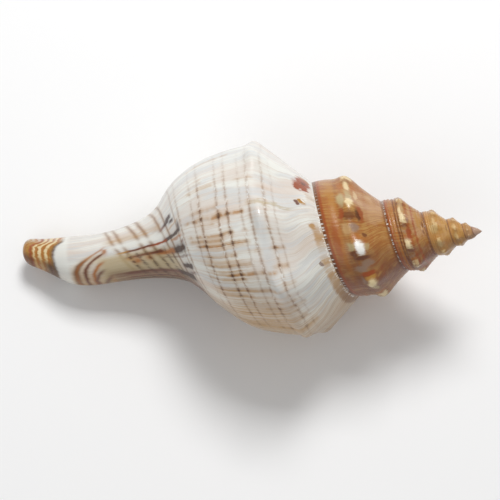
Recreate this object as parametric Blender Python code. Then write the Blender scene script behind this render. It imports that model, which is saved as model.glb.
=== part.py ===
"""Conch shell of a large marine snail, polished, lying on its mouth.

Units are metres, +Z is up. The shell's long axis runs along X, with the point of the spire
towards +X and the canal towards -X, and it rests on its outer lip and its underside at z = 0.
The whole shell is one grown piece: a coiled wall round a solid centre, with an open mouth
on the underside that runs out in a narrow open canal.
"""
import math

import bmesh
import bpy
import numpy as np
from mathutils import Matrix

# Growth of the coil. Sizes are those at the lip, and shrink by WHORL_RATIO for each turn back.
WHORL_RATIO = 1.622
TURNS = 6.75
LIP_ANGLE = math.radians(-132.0)
APEX_DISTANCE = 0.0012

# Outline of the last whorl along the lip, as distance from the apex, radius, how far the distance
# grows with the coil, and how far the canal leans sideways. It runs from the upper suture over
# the shoulder and the base to the canal's end.
SUTURE = (0.0554, 0.0217)
RAMP = (0.0601, 0.0253)
SHOULDER = (0.0733, 0.0347)
BODY = (0.0807, 0.0369)
BASE_TOP = (0.0971, 0.0324, 0.93, 0.0001)
BASE_MIDDLE = (0.1022, 0.0282, 0.85, 0.0010)
BASE_LOW = (0.1069, 0.0220, 0.76, 0.0021)
NECK = (0.1107, 0.0145, 0.55, 0.0034)
CANAL_TOP = (0.1185, 0.0106, 0.30, 0.0033)
CANAL_MIDDLE = (0.1275, 0.0095, 0.10, 0.0027)
CANAL_LOW = (0.1370, 0.0088, 0.02, 0.0034)
CANAL_TIP = (0.1455, 0.0063, 0.0, 0.0059)
CANAL_NOSE = (0.1510, 0.0047, 0.0, 0.0075)
CANAL_END = (0.1528, 0.0, 0.0, 0.0077)

# Knobs on the shoulder: a broad swelling with a sharper crest on a low keel, and the flatter
# flank below it on the spire.
KNOB_HEIGHT = 0.0023
KNOB_WIDTH = 0.75
CREST_HEIGHT = 0.0011
CREST_WIDTH = 0.36
CREST_PLACE_BODY = 2.30
CREST_PLACE_SPIRE = 1.90
KEEL_HEIGHT = 0.0003
FLANK_DEPTH = 0.0011
KNOB_FIRST = math.radians(22.0)
KNOB_SPACING = math.radians(43.0)
KNOB_SPACING_SPIRE = math.radians(40.5)
KNOBS_ON_BODY = 8

# The last whorl grows on a little lower down than those before it.
DROP_DISTANCE = 0.0017
DROP_RADIUS = 0.0004

# Wall and hollow.
BODY_WALL = 0.0022
CANAL_WALL = 0.0013
HOLLOW_TURN_BODY = math.radians(318.0)
HOLLOW_TURN_CANAL = math.radians(140.0)
NOTCH_TURN = math.radians(80.0)
COLUMN_HOLLOW = 0.40
CANAL_END_WALL = 0.0022

# How the shell lies: turned about its own length, then tipped with its canal up.
REST_ROLL = math.radians(14.5)
REST_PITCH = math.radians(-12.5)

# Fineness of the faceted solid.
COLUMNS_PER_TURN = 36
WHORL_ROWS = (0.0, 0.45, 0.90, 1.30, 1.62, 1.90, 2.18, 2.60, 3.10, 3.55, 4.0)
ROWS_BASE = 19
HOLLOW_STEPS = 25
LIP_STEP = 0.02
WELD = 2e-6

TURN = 2.0 * math.pi
LOWER_SUTURE = (SUTURE[0] * WHORL_RATIO, SUTURE[1] * WHORL_RATIO)
OUTLINE = [
    (*SUTURE, 1.0, 0.0),
    (*RAMP, 1.0, 0.0),
    (*SHOULDER, 1.0, 0.0),
    (*BODY, 1.0, 0.0),
    (*LOWER_SUTURE, 1.0, 0.0),
    BASE_TOP,
    BASE_MIDDLE,
    BASE_LOW,
    NECK,
    CANAL_TOP,
    CANAL_MIDDLE,
    CANAL_LOW,
    CANAL_TIP,
    CANAL_NOSE,
    CANAL_END,
]
LAST = len(OUTLINE) - 1.0


def smooth_step(value, low, high):
    """Rise smoothly from 0 at low to 1 at high."""
    part = np.clip((value - low) / (high - low), 0.0, 1.0)
    return part * part * (3.0 - 2.0 * part)


def spline(values, place):
    """Read a natural cubic curve through evenly numbered values."""
    values = np.asarray(values, float)
    count = len(values)
    system = np.eye(count)
    right = np.zeros(count)
    for i in range(1, count - 1):
        system[i, i - 1:i + 2] = (1.0, 4.0, 1.0)
        right[i] = 6.0 * (values[i + 1] - 2.0 * values[i] + values[i - 1])
    bend = np.linalg.solve(system, right)
    place = np.asarray(place, float)
    i = np.clip(np.floor(place).astype(int), 0, count - 2)
    t = place - i
    s = 1.0 - t
    straight = s * values[i] + t * values[i + 1]
    return straight + ((s ** 3 - s) * bend[i] + (t ** 3 - t) * bend[i + 1]) / 6.0


def outline(place):
    """Distance, radius, growth share and sideways lean at a place along the outline."""
    table = np.array(OUTLINE)
    distance = spline(table[:, 0], place)
    radius = np.maximum(spline(table[:, 1], place), 0.0)
    share = np.interp(place, np.arange(len(table)), table[:, 2])
    lean = spline(table[:, 3], place) * smooth_step(place, 4.0, 5.0)
    return distance, radius, share, lean


def knobs(angle):
    """Rise and fall of the knobs round the coil, from 0 to 1."""
    count = (angle - KNOB_FIRST) / KNOB_SPACING
    last = KNOB_FIRST + KNOBS_ON_BODY * KNOB_SPACING
    early = KNOBS_ON_BODY + (angle - last) / KNOB_SPACING_SPIRE
    count = np.where(angle < last, count, early)
    return (0.5 + 0.5 * np.cos(TURN * count)) ** 1.5


def shoulder(turn, place):
    """Height of the shoulder's relief at the lip's size: knobs, crests, keel and flank."""
    wave = knobs(LIP_ANGLE - turn)
    fade = smooth_step(place, 0.0, 1.0) * (1.0 - smooth_step(place, 3.0, 4.0))
    young = smooth_step(turn + TURN * TURNS, 0.0, math.pi)
    broad = KNOB_HEIGHT * wave * np.exp(-((place - 2.0) / KNOB_WIDTH) ** 2)
    middle = CREST_PLACE_BODY + (CREST_PLACE_SPIRE - CREST_PLACE_BODY) * smooth_step(
        -turn, 0.6 * TURN, 1.1 * TURN)
    crest = np.exp(-((place - middle) / CREST_WIDTH) ** 2)
    sharp = (CREST_HEIGHT * wave ** 1.5 + KEEL_HEIGHT) * crest
    flank = FLANK_DEPTH * np.exp(-((place - 2.85) / 0.55) ** 2) * smooth_step(-turn, TURN, 1.2 * TURN)
    return (broad + sharp - flank) * fade * young


def drop(turn, place):
    """How far the last whorl's upper edge has slid down, and the faces on both sides of it."""
    upper = smooth_step(turn, -TURN, -0.62 * TURN) * (1.0 - smooth_step(place, 0.0, 1.8))
    lower = smooth_step(turn + TURN, -TURN, -0.62 * TURN)
    lower = lower * (1.0 - smooth_step(turn, -TURN, -TURN + 1.2))
    lower = lower * smooth_step(place, 2.6, 4.0) * (1.0 - smooth_step(place, 4.0, 6.0))
    return (upper + lower * WHORL_RATIO) * WHORL_RATIO ** (turn / TURN)


def in_place(distance, radius, lean, angle):
    """Turn distance, radius, sideways lean and angle into a point."""
    y = -radius * np.sin(angle) + lean
    z = radius * np.cos(angle)
    return np.stack([-distance, y, z], axis=-1)


def coil(turn, distance, radius, share):
    """Distance and radius of a point of the lip's outline, moved back along the coil."""
    growth = WHORL_RATIO ** (turn / TURN)
    return distance * (1.0 + (growth - 1.0) * share), radius * growth


def column_dip(turn, place):
    """Narrowing of the canal's wall beside its open slot."""
    beside = smooth_step(-turn, TURN - 1.6, TURN - 0.1)
    return 1.0 - COLUMN_HOLLOW * beside * smooth_step(place, 7.0, 9.0)


def outer_wall(turn, place):
    """Point of the outer face, turned back from the lip, at a place on the outline."""
    turn, place = np.broadcast_arrays(np.asarray(turn, float), np.asarray(place, float))
    distance, radius, share, lean = outline(place)
    angle = LIP_ANGLE - turn
    distance, radius = coil(turn, distance, radius, share)
    growth = WHORL_RATIO ** (turn / TURN)
    radius = radius + shoulder(turn, place) * growth
    slid = drop(turn, place)
    distance = distance + DROP_DISTANCE * slid
    radius = radius + DROP_RADIUS * slid
    radius = radius * column_dip(turn, place)
    start = -TURN * TURNS
    lower = np.sqrt(smooth_step(turn, start, start + 0.7 * math.pi))
    upper = np.sqrt(smooth_step(turn - TURN, start, start + 0.7 * math.pi))
    full = upper + (lower - upper) * np.clip(place / 4.0, 0.0, 1.0)
    distance = APEX_DISTANCE + (distance - APEX_DISTANCE) * full
    return in_place(distance, radius * full, lean, angle)


def end_setback(place):
    """How far the hollow stays behind the outer face at the canal's end."""
    return CANAL_END_WALL * smooth_step(place, 11.5, LAST)


def inner_wall(turn, place):
    """Point of the inner face of the outer wall."""
    step = 1e-4
    distance, radius, share, lean = outline(place)
    ahead = outline(np.minimum(place + step, LAST))
    behind = outline(np.maximum(place - step, 0.0))
    along = ahead[0] - behind[0]
    across = ahead[1] - behind[1]
    wall = BODY_WALL + (CANAL_WALL - BODY_WALL) * smooth_step(place, 6.5, 9.0)
    slope = across / np.hypot(along, across) * (1.0 - smooth_step(place, 8.0, 10.0))
    flat = np.sqrt(1.0 - slope ** 2)
    nose = smooth_step(place, 11.5, LAST)
    radius = radius - wall * flat * (1.0 - nose) - 0.2 * radius * nose
    distance = distance + wall * slope - end_setback(place)
    distance, radius = coil(turn, distance, radius, share)
    slid = drop(turn, place)
    distance = distance + DROP_DISTANCE * slid
    radius = radius + DROP_RADIUS * slid
    return in_place(distance, radius, lean, LIP_ANGLE - turn)


def column_wall(turn, place):
    """Point of the centre column: the face of the coil one turn earlier."""
    distance, radius, share, lean = outline(place)
    distance, radius = coil(turn - TURN, distance, radius, share)
    slid = drop(turn - TURN, place)
    distance = distance + DROP_DISTANCE * slid - end_setback(place)
    radius = (radius + DROP_RADIUS * slid) * column_dip(-TURN, place)
    return in_place(distance, radius, lean, LIP_ANGLE - turn)


def corner():
    """Where the inside of the wall meets the whorl that it grows on."""
    wall_place = np.linspace(0.0, 2.0, 801)
    column_place = np.linspace(4.0, 6.0, 801)
    wall = inner_wall(0.0, wall_place)
    column = column_wall(0.0, column_place)
    gap = np.linalg.norm(wall[:, None] - column[None], axis=-1)
    i, j = np.unravel_index(np.argmin(gap), gap.shape)
    return wall_place[i], column_place[j]


def sheet_faces(grid, faces):
    """Faces between the rows and columns of a grid of vertex numbers."""
    for column in range(grid.shape[0] - 1):
        for row in range(grid.shape[1] - 1):
            faces.append((
                grid[column, row],
                grid[column + 1, row],
                grid[column + 1, row + 1],
                grid[column, row + 1],
            ))


def build_shell():
    """Make the whole coiled wall as one closed mesh."""
    points = []
    faces = []

    def add(sheet):
        first = len(points)
        points.extend(sheet.reshape(-1, 3))
        return first + np.arange(sheet.shape[0] * sheet.shape[1]).reshape(sheet.shape[:2])

    # Outside of every whorl, from the apex to the lip, between one suture and the next.
    columns = int(round(COLUMNS_PER_TURN * TURNS))
    turns = -TURN / COLUMNS_PER_TURN * np.arange(columns, -1, -1)
    whorl_rows = np.array(WHORL_ROWS)
    last_row = len(WHORL_ROWS) - 1
    grid = add(outer_wall(turns[:, None], whorl_rows[None, :]))
    sheet_faces(grid, faces)

    # Base and canal of the last whorl, whose edge draws back round the open end of the canal.
    base_rows = np.linspace(4.0, LAST, ROWS_BASE + 1)
    notch = NOTCH_TURN * smooth_step(base_rows, 11.3, LAST)
    part = np.linspace(0.0, 1.0, COLUMNS_PER_TURN + 1)
    turns = -TURN + part[:, None] * (TURN - notch[None, :])
    grid = add(outer_wall(turns, np.broadcast_to(base_rows, turns.shape)))
    sheet_faces(grid, faces)

    # Lip, inside of the wall and centre column, as closed loops that go back into the coil.
    wall_start, column_start = corner()
    outer_rows = np.concatenate([whorl_rows, base_rows[1:]])
    column_rows = base_rows[-2:0:-1]
    outer_notch = NOTCH_TURN * smooth_step(outer_rows, 11.3, LAST)
    inner_rows = outer_rows + wall_start * (1.0 - smooth_step(outer_rows, 0.0, 3.0))
    sunk_rows = column_rows + (column_start - 4.0) * (1.0 - smooth_step(column_rows, 4.0, 7.0))
    canal_share = smooth_step(outer_rows, 6.0, 9.5)
    outer_depth = HOLLOW_TURN_BODY + (HOLLOW_TURN_CANAL - HOLLOW_TURN_BODY) * canal_share
    column_depth = np.interp(column_rows, outer_rows, outer_depth)
    lip_round = 0.5 * BODY_WALL / np.maximum(outline(outer_rows)[1], 0.004)
    lip_round = lip_round * smooth_step(outer_rows, 0.0, 1.0)
    loops = []
    for step in range(HOLLOW_STEPS + 1):
        inside = min(step / 2.0, 1.0)
        back = max(step - 2, 0) / (HOLLOW_STEPS - 2)
        turn = -outer_notch - outer_depth * back
        if step == 1:
            turn = turn + lip_round
        rows = outer_rows + (inner_rows - outer_rows) * inside
        outer_loop = outer_wall(turn, rows) * (1.0 - inside) + inner_wall(turn, inner_rows) * inside
        if step == 1:
            outer_loop[0] = outer_wall(0.0, 0.0)
        turn = -np.maximum(column_depth * back, LIP_STEP * step)
        rows = column_rows + (sunk_rows - column_rows) * inside
        first = outer_wall(turn - TURN, rows)
        column_loop = first * (1.0 - inside) + column_wall(turn, rows) * inside
        loops.append(np.concatenate([outer_loop, column_loop]))
    grid = add(np.array(loops))
    closed = np.concatenate([grid, grid[:, :1]], axis=1)
    sheet_faces(closed[::-1], faces)

    # Blind end of the hollow, deep inside the coil.
    end = grid[-1]
    outer_count = len(outer_rows)
    for row in range(1, last_row):
        faces.append((end[0], end[row], end[row + 1]))
    wall_side = list(end[last_row:outer_count])
    column_side = [end[0]] + list(end[:outer_count - 1:-1]) + [end[outer_count - 1]]
    for row in range(len(wall_side) - 1):
        faces.append((
            column_side[row],
            wall_side[row],
            wall_side[row + 1],
            column_side[row + 1],
        ))
    return np.array(points), faces


def shell_object():
    """Weld the sheets into one solid and lay it down."""
    points, faces = build_shell()
    mesh = bpy.data.meshes.new("shell")
    work = bmesh.new()
    verts = [work.verts.new(point) for point in points]
    for face in faces:
        corners = list(dict.fromkeys(int(index) for index in face))
        if len(corners) > 2:
            work.faces.new([verts[index] for index in corners])
    bmesh.ops.remove_doubles(work, verts=work.verts, dist=WELD)
    bmesh.ops.dissolve_degenerate(work, edges=work.edges, dist=WELD)
    bmesh.ops.recalc_face_normals(work, faces=work.faces)
    bmesh.ops.triangulate(work, faces=work.faces)
    work.to_mesh(mesh)
    work.free()
    lie = Matrix.Rotation(REST_PITCH, 4, "Y") @ Matrix.Rotation(REST_ROLL, 4, "X")
    mesh.transform(lie)
    corners = np.array([vertex.co for vertex in mesh.vertices])
    middle = (corners.max(axis=0) + corners.min(axis=0)) / 2.0
    mesh.transform(Matrix.Translation((-middle[0], -middle[1], -corners[:, 2].min())))
    shell = bpy.data.objects.new("shell", mesh)
    return shell


for old in list(bpy.data.objects):
    bpy.data.objects.remove(old, do_unlink=True)

collection = bpy.data.collections.new("conch_shell")
bpy.context.scene.collection.children.link(collection)

shell = shell_object()
collection.objects.link(shell)

glaze = bpy.data.materials.new("shell_glaze")
glaze.use_nodes = True
surface = glaze.node_tree.nodes["Principled BSDF"]
surface.inputs["Base Color"].default_value = (0.72, 0.60, 0.47, 1.0)
surface.inputs["Roughness"].default_value = 0.22
shell.data.materials.append(glaze)
for polygon in shell.data.polygons:
    polygon.use_smooth = True
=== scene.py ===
import math

import bpy
import numpy as np
from mathutils import Matrix, Vector


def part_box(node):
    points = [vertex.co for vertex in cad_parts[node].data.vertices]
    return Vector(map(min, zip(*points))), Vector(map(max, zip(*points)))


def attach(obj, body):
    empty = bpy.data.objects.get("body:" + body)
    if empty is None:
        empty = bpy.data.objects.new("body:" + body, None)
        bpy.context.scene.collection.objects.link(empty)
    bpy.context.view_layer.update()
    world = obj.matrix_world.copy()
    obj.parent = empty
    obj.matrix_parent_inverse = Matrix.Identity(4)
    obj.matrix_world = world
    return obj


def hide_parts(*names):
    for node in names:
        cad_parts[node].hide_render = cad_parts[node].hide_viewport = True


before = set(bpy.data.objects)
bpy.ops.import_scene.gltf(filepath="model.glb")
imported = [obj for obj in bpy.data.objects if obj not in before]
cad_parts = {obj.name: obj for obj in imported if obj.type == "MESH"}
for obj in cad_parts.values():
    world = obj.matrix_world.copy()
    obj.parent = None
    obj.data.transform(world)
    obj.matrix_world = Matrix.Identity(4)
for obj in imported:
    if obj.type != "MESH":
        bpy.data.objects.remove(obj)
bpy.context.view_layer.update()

# Shell of a large sea snail, coiled as it grew: every whorl has the same outline, larger by one
# ratio per turn. The outline is swept along that coil by a node tree, with the knobs, the cords,
# the open mouth and the hollow behind it, and the surface is a hard polished glaze.
TURN = 2.0 * math.pi
WHORL_RATIO = 1.622
TURNS = 6.75
LIP_ANGLE = math.radians(-132.0)
APEX_DISTANCE = 0.0012
SUTURE = (0.0554, 0.0217)
KNOB_HEIGHT = 0.0023
KNOB_WIDTH = 0.75
CREST_HEIGHT = 0.0011
CREST_WIDTH = 0.36
CREST_PLACE_BODY = 2.30
CREST_PLACE_SPIRE = 1.90
KEEL_HEIGHT = 0.0003
FLANK_DEPTH = 0.0011
DROP_DISTANCE = 0.0017
DROP_RADIUS = 0.0004
KNOB_FIRST = math.radians(22.0)
KNOB_SPACING = math.radians(43.0)
KNOB_SPACING_SPIRE = math.radians(40.5)
KNOBS_ON_BODY = 8
BODY_WALL = 0.0022
CANAL_WALL = 0.0013
HOLLOW_TURN_BODY = math.radians(318.0)
HOLLOW_TURN_CANAL = math.radians(140.0)
NOTCH_TURN = math.radians(80.0)
COLUMN_HOLLOW = 0.40
CANAL_END_WALL = 0.0022
NOTCH_START = 11.3
CORD_HEIGHT = 0.00016
CORD_SPACING = 3.28
FOLD_HEIGHT = 0.0009
SWELLING_HEIGHT = 0.0009
REST_ROLL = math.radians(14.5)
REST_PITCH = math.radians(-12.5)
COLUMNS_PER_TURN = 144
ROWS_WHORL = 48
ROWS_BASE = 110
RIM_STEPS = 8
HOLLOW_STEPS = 84

# Distance from the apex, radius, growth share and sideways lean along the last whorl's outline.
OUTLINE = np.array([
    (*SUTURE, 1.0, 0.0),
    (0.0601, 0.0253, 1.0, 0.0),
    (0.0733, 0.0347, 1.0, 0.0),
    (0.0807, 0.0369, 1.0, 0.0),
    (SUTURE[0] * WHORL_RATIO, SUTURE[1] * WHORL_RATIO, 1.0, 0.0),
    (0.0971, 0.0324, 0.93, 0.0001),
    (0.1022, 0.0282, 0.85, 0.0010),
    (0.1069, 0.0220, 0.76, 0.0021),
    (0.1107, 0.0145, 0.55, 0.0034),
    (0.1185, 0.0106, 0.30, 0.0033),
    (0.1275, 0.0095, 0.10, 0.0027),
    (0.1370, 0.0088, 0.02, 0.0034),
    (0.1455, 0.0063, 0.0, 0.0059),
    (0.1510, 0.0047, 0.0, 0.0075),
    (0.1528, 0.0, 0.0, 0.0077),
])
LAST = len(OUTLINE) - 1.0


def smooth_step(value, low, high):
    """Rise smoothly from 0 at low to 1 at high."""
    part = np.clip((value - low) / (high - low), 0.0, 1.0)
    return part * part * (3.0 - 2.0 * part)


def spline(values, place):
    """Read a natural cubic curve through evenly numbered values."""
    count = len(values)
    system = np.eye(count)
    right = np.zeros(count)
    for i in range(1, count - 1):
        system[i, i - 1:i + 2] = (1.0, 4.0, 1.0)
        right[i] = 6.0 * (values[i + 1] - 2.0 * values[i] + values[i - 1])
    bend = np.linalg.solve(system, right)
    i = np.clip(np.floor(place).astype(int), 0, count - 2)
    t = place - i
    s = 1.0 - t
    straight = s * values[i] + t * values[i + 1]
    return straight + ((s ** 3 - s) * bend[i] + (t ** 3 - t) * bend[i + 1]) / 6.0


def outline(place):
    """Distance, radius, growth share and lean of the outer face at places on the outline."""
    place = np.asarray(place, float)
    distance = spline(OUTLINE[:, 0], place)
    radius = np.maximum(spline(OUTLINE[:, 1], place), 0.0)
    share = np.interp(place, np.arange(len(OUTLINE)), OUTLINE[:, 2])
    lean = spline(OUTLINE[:, 3], place) * smooth_step(place, 4.0, 5.0)
    return np.stack([distance, radius, share, lean], axis=-1)


def inner_outline(place):
    """The same four values for the inner face of the wall."""
    values = outline(place)
    ahead = outline(np.minimum(place + 1e-4, LAST))
    behind = outline(np.maximum(place - 1e-4, 0.0))
    along, across = (ahead - behind)[..., 0], (ahead - behind)[..., 1]
    wall = BODY_WALL + (CANAL_WALL - BODY_WALL) * smooth_step(place, 6.5, 9.0)
    slope = across / np.hypot(along, across) * (1.0 - smooth_step(place, 8.0, 10.0))
    nose = smooth_step(place, 11.5, LAST)
    values[..., 1] -= wall * np.sqrt(1.0 - slope ** 2) * (1.0 - nose) + 0.2 * values[..., 1] * nose
    values[..., 0] += wall * slope - CANAL_END_WALL * nose
    return values


def column_outline(place):
    """Distance and radius of the whorl that the lip grows on."""
    values = outline(place)
    distance = values[..., 0] * (1.0 + (1.0 / WHORL_RATIO - 1.0) * values[..., 2])
    return np.stack([distance, values[..., 1] / WHORL_RATIO], axis=-1)


# Rows of the outline, and those of the inner face, which begin where it meets the last turn.
whorl_rows = np.linspace(0.0, 4.0, ROWS_WHORL + 1)
base_rows = np.linspace(4.0, LAST, ROWS_BASE + 1)
outer_rows = np.concatenate([whorl_rows, base_rows[1:]])
wall_places = np.linspace(0.0, 2.0, 801)
column_places = np.linspace(4.0, 6.0, 801)
slide = np.array([DROP_DISTANCE, DROP_RADIUS])
wall_edge = inner_outline(wall_places)[:, :2] + slide * (
    1.0 - smooth_step(wall_places, 0.0, 1.8))[:, None]
column_edge = column_outline(column_places) + slide * (
    1.0 - smooth_step(column_places, 4.0, 6.0))[:, None]
gaps = np.linalg.norm(wall_edge[:, None] - column_edge[None], axis=-1)
wall_pick, column_pick = np.unravel_index(np.argmin(gaps), gaps.shape)
inner_rows = outer_rows + wall_places[wall_pick] * (1.0 - smooth_step(outer_rows, 0.0, 3.0))
sunk_rows = base_rows + (column_places[column_pick] - 4.0) * (
    1.0 - smooth_step(base_rows, 4.0, 7.0))

# One small mesh holds the rows: the outer face, the outer face beside the inner rows, the inner
# face, and the centre column at the lip and behind it.
dense = np.linspace(0.0, LAST, 4001)
dense_steps = np.linalg.norm(np.diff(outline(dense)[:, :2], axis=0), axis=1)
dense_length = np.concatenate([[0.0], np.cumsum(dense_steps)]) * 1000.0
layers = [
    (outer_rows, outline(outer_rows)),
    (inner_rows, outline(inner_rows)),
    (inner_rows, inner_outline(inner_rows)),
    (base_rows, outline(base_rows)),
    (sunk_rows, outline(sunk_rows)),
]
layer_start = np.concatenate([[0], np.cumsum([len(rows) for rows, values in layers])])
row_values = np.concatenate([values for rows, values in layers])
row_places = np.concatenate([rows for rows, values in layers])
row_mesh = bpy.data.meshes.new("shell_outline")
row_mesh.from_pydata([tuple(v) for v in row_values[:, [0, 1, 3]]], [], [])
row_data = row_mesh.attributes.new("row_data", "FLOAT_VECTOR", "POINT")
row_along = np.interp(row_places, dense, dense_length)
row_data.data.foreach_set("vector", np.stack(
    [row_values[:, 2], row_places, row_along], axis=-1).astype(np.float32).ravel())
row_object = bpy.data.objects.new("shell_outline", row_mesh)
bpy.context.scene.collection.objects.link(row_object)


class Field:
    """A value in a node tree that can be added, multiplied and compared."""

    def __init__(self, tree, socket):
        self.tree = tree
        self.socket = socket

    def node(self, kind, values, **settings):
        made = self.tree.nodes.new(kind)
        for name, setting in settings.items():
            setattr(made, name, setting)
        for name, value in values.items():
            if isinstance(value, Field):
                self.tree.links.new(value.socket, made.inputs[name])
            else:
                made.inputs[name].default_value = value
        return made

    def math(self, operation, *values):
        made = self.node("ShaderNodeMath", dict(enumerate(values)), operation=operation)
        return Field(self.tree, made.outputs[0])

    def __add__(self, other):
        return self.math("ADD", self, other)

    def __radd__(self, other):
        return self.math("ADD", other, self)

    def __sub__(self, other):
        return self.math("SUBTRACT", self, other)

    def __rsub__(self, other):
        return self.math("SUBTRACT", other, self)

    def __mul__(self, other):
        return self.math("MULTIPLY", self, other)

    def __rmul__(self, other):
        return self.math("MULTIPLY", other, self)

    def __truediv__(self, other):
        return self.math("DIVIDE", self, other)

    def __rtruediv__(self, other):
        return self.math("DIVIDE", other, self)

    def __pow__(self, other):
        return self.math("POWER", self, other)

    def __rpow__(self, other):
        return self.math("POWER", other, self)

    def __neg__(self):
        return self.math("MULTIPLY", self, -1.0)

    def minimum(self, other):
        return self.math("MINIMUM", self, other)

    def maximum(self, other):
        return self.math("MAXIMUM", self, other)

    def below(self, limit):
        return self.math("LESS_THAN", self, limit)

    def sin(self):
        return self.math("SINE", self)

    def cos(self):
        return self.math("COSINE", self)

    def sqrt(self):
        return self.math("SQRT", self)

    def rounded(self):
        return self.math("ROUND", self)

    def smooth(self, low, high, start=0.0, end=1.0):
        made = self.node("ShaderNodeMapRange", {
            "Value": self, "From Min": low, "From Max": high, "To Min": start, "To Max": end,
        }, interpolation_type="SMOOTHSTEP")
        return Field(self.tree, made.outputs["Result"])

    def hump(self, middle, width):
        """A bell of height 1 round a middle value."""
        offset = (self - middle) / width
        return 2.718282 ** (offset * offset * -1.0)

    def mix(self, other, share):
        return self + (other - self) * share

    def cover_with(self, colour, share):
        """Lay a colour over this one."""
        made = self.node("ShaderNodeMix", {0: share, 6: self, 7: colour}, data_type="RGBA")
        return Field(self.tree, made.outputs[2])

    def cover(self, first, second, low, high):
        """Go from a first colour to a second as this value rises."""
        made = self.node("ShaderNodeMix", {
            0: self.smooth(low, high), 6: first, 7: second}, data_type="RGBA")
        return Field(self.tree, made.outputs[2])


def dye(red, green, blue):
    """A colour given by its screen values from 0 to 255."""
    return (*[((value / 255.0 + 0.055) / 1.055) ** 2.4 for value in (red, green, blue)], 1.0)


def grain(across, up, seed, detail=2.0):
    """Random value round 0.5 over a pattern that is stretched by its two coordinates."""
    where = across.node("ShaderNodeCombineXYZ", {0: across, 1: up, 2: seed})
    made = across.node("ShaderNodeTexNoise", {
        "Vector": Field(across.tree, where.outputs[0]), "Scale": 1.0, "Detail": detail})
    return Field(across.tree, made.outputs[0])


def read(tree, name):
    """A value stored on the shell's surface."""
    made = tree.nodes.new("ShaderNodeAttribute")
    made.attribute_name = name
    return Field(tree, made.outputs["Fac"])


def stretched(tree, name, scale, seed):
    """Coordinates stored on the shell's surface, with the angle turned into degrees, and stretched."""
    stored = tree.nodes.new("ShaderNodeAttribute")
    stored.attribute_name = name
    where = tree.nodes.new("ShaderNodeMapping")
    where.inputs["Location"].default_value = (0.0, 0.0, seed * 7.3)
    where.inputs["Scale"].default_value = (scale[0] * 180.0 / math.pi, scale[1], scale[2])
    tree.links.new(stored.outputs["Vector"], where.inputs["Vector"])
    return where


def coordinates(tree, name):
    """The three coordinates stored on the shell's surface, one by one."""
    made = tree.nodes.new("ShaderNodeSeparateXYZ")
    where = stretched(tree, name, (1.0, 1.0, 1.0), 0.0)
    tree.links.new(where.outputs["Vector"], made.inputs[0])
    return [Field(tree, output) for output in made.outputs]


def noise(tree, name, scale, seed, detail=2.0):
    """Random value round 0.5 over the coordinates stored on the shell's surface."""
    where = stretched(tree, name, scale, seed)
    made = tree.nodes.new("ShaderNodeTexNoise")
    made.inputs["Scale"].default_value = 1.0
    made.inputs["Detail"].default_value = detail
    tree.links.new(where.outputs["Vector"], made.inputs["Vector"])
    return Field(tree, made.outputs[0])


# Colours of the outside: white and grey glaze on the last whorl, ochre on the spire.
WHITE = dye(229, 229, 222)
MILK = dye(241, 239, 233)
PEARL = dye(207, 208, 207)
ROSE = dye(217, 206, 196)
CREAM = dye(226, 205, 160)
OLIVE = dye(182, 162, 118)
TAN = dye(190, 154, 106)
HONEY = dye(178, 130, 60)
OCHRE = dye(170, 104, 42)
RUST = dye(152, 70, 26)
CHESTNUT = dye(104, 50, 22)
BROWN = dye(62, 32, 16)
PLUM = dye(124, 78, 60)
LILAC = dye(150, 122, 102)
# Heights in millimetres along the outline where one stretch of colour ends and the next begins,
# and the angle behind which the spire's colours take over.
WIDEST_EDGE = 40.5
NECK_EDGE = 57.0
CANAL_EDGE = 84.4
TIP_EDGE = 120.0
BAND_LIMIT = 55.2
SPIRE_COLOUR_START = math.radians(-320.0)


def blot(under, tone, across, up, angle, half_angle, height, half_height, strength):
    """Lay a ragged round blot over a colour."""
    shape = across.hump(angle, half_angle) * up.hump(height, half_height)
    return under.cover_with(tone, shape.smooth(0.13, 0.73) * strength)


def streak(under, tone, across, up, angle, half_angle, first, last, strength):
    """Lay a streak that follows the growth lines from one height to another over a colour."""
    shape = across.hump(angle, half_angle) * up.smooth(first - 1.0, first + 1.0)
    shape = shape * up.smooth(last - 1.5, last + 1.5, 1.25 * strength, 0.0)
    return under.cover_with(tone, shape.minimum(0.95))


# Growth bands: angle, half width in degrees, first and last height, and strength.
growth_bands = [
    (-76.0, 1.5, 45.0, 48.0, 0.3), (-79.0, 1.5, 45.0, 51.0, 0.35), (-84.5, 1.4, 41.0, 52.0, 0.5),
    (-85.0, 1.0, 26.0, 33.0, 0.35), (-91.0, 1.0, 20.0, 24.0, 0.25), (-102.5, 1.8, 21.0, 30.0, 0.35),
    (-101.0, 1.8, 41.0, 52.0, 0.45), (-106.8, 1.4, 31.0, 55.2, 0.8), (-106.8, 2.3, 37.0, 51.0, 0.75),
    (-110.5, 1.0, 43.0, 50.0, 0.45), (-118.2, 1.6, 36.5, 55.2, 0.65), (-118.0, 1.2, 31.0, 33.0, 0.4),
    (-121.3, 2.0, 41.5, 55.2, 0.6), (-124.8, 1.4, 31.0, 52.0, 0.8), (-119.0, 0.6, 21.0, 24.0, 0.35),
    (-129.8, 1.3, 18.5, 24.0, 0.7), (-130.5, 1.2, 27.5, 33.0, 0.35), (-131.8, 1.5, 38.0, 50.0, 0.5),
    (-137.8, 1.5, 33.0, 51.0, 0.55), (-140.8, 1.5, 19.0, 25.0, 0.75), (-142.0, 1.3, 37.5, 50.0, 0.5),
    (-143.8, 1.6, 24.0, 44.0, 0.8), (-147.0, 1.4, 37.0, 51.0, 0.6), (-152.0, 1.2, 18.0, 23.5, 0.4),
    (-154.5, 1.8, 27.0, 50.0, 0.5), (-159.0, 1.8, 37.0, 50.0, 0.5), (-164.0, 1.7, 21.0, 48.0, 0.45),
    (-169.0, 1.8, 18.0, 36.0, 0.5), (-174.0, 1.9, 22.0, 46.0, 0.5), (-181.0, 2.0, 20.0, 40.0, 0.5),
    (-189.0, 2.4, 17.0, 46.0, 0.55),
]
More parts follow.
